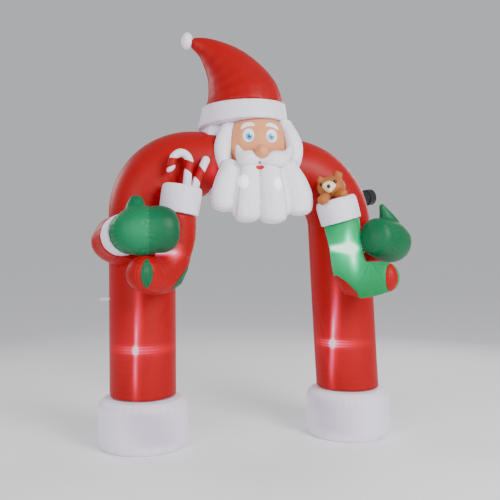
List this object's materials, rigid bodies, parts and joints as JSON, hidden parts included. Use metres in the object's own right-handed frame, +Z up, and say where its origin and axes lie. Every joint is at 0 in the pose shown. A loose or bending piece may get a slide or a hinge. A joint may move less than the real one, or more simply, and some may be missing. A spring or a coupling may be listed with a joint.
{
  "type": "inflatable archway",
  "caption": "Blown-up cloth archway: two tube legs on drum feet, a bearded winter figure's head at the top, mittened arms and two hung stockings.",
  "frame": {"origin": "centre of the bounding box on the ground plane, under the feet", "axes": "+Z up, +X across the passage towards the right leg seen from the front, -Y out of the front"},
  "size_m": [2.2828, 1.0389, 3],
  "materials": {
    "red_cloth": "semi-gloss coated nylon",
    "white_cloth": "semi-gloss coated nylon",
    "white_webbing": "woven webbing",
    "skin_cloth": "semi-gloss coated nylon",
    "green_cloth": "semi-gloss coated nylon",
    "bright_green_cloth": "semi-gloss coated nylon",
    "brown_cloth": "semi-gloss coated nylon",
    "tan_cloth": "semi-gloss coated nylon",
    "black_plastic": "matte"
  },
  "bodies": {
    "root": {"arch_tube_left": "red_cloth", "arch_tube_right": "red_cloth", "arm_cuff_left": "white_cloth", "arm_cuff_right": "white_cloth", "bear_head": "brown_cloth", "bear_muzzle": "tan_cloth", "bear_paw_left": "brown_cloth", "bear_paw_right": "brown_cloth", "beard": "white_cloth", "cane_hooked": "white_cloth", "cane_turned": "white_cloth", "cap": "red_cloth", "cap_band": "white_cloth", "face": "skin_cloth", "fan_housing": "black_plastic", "foot_left": "white_cloth", "foot_right": "white_cloth", "hair_left": "white_cloth", "hair_right": "white_cloth", "head": "white_cloth", "heel_panel_left": "green_cloth", "heel_panel_right": "red_cloth", "mitten_left": "green_cloth", "mitten_right": "green_cloth", "moustache": "white_cloth", "nose": "skin_cloth", "pom": "white_cloth", "sleeve_left": "red_cloth", "sleeve_right": "red_cloth", "stocking_cuff_left": "white_cloth", "stocking_cuff_right": "white_cloth", "stocking_left": "red_cloth", "stocking_right": "bright_green_cloth", "tether_tab": "white_webbing", "toe_panel_left": "green_cloth", "toe_panel_right": "red_cloth"}
  },
  "joints": []
}
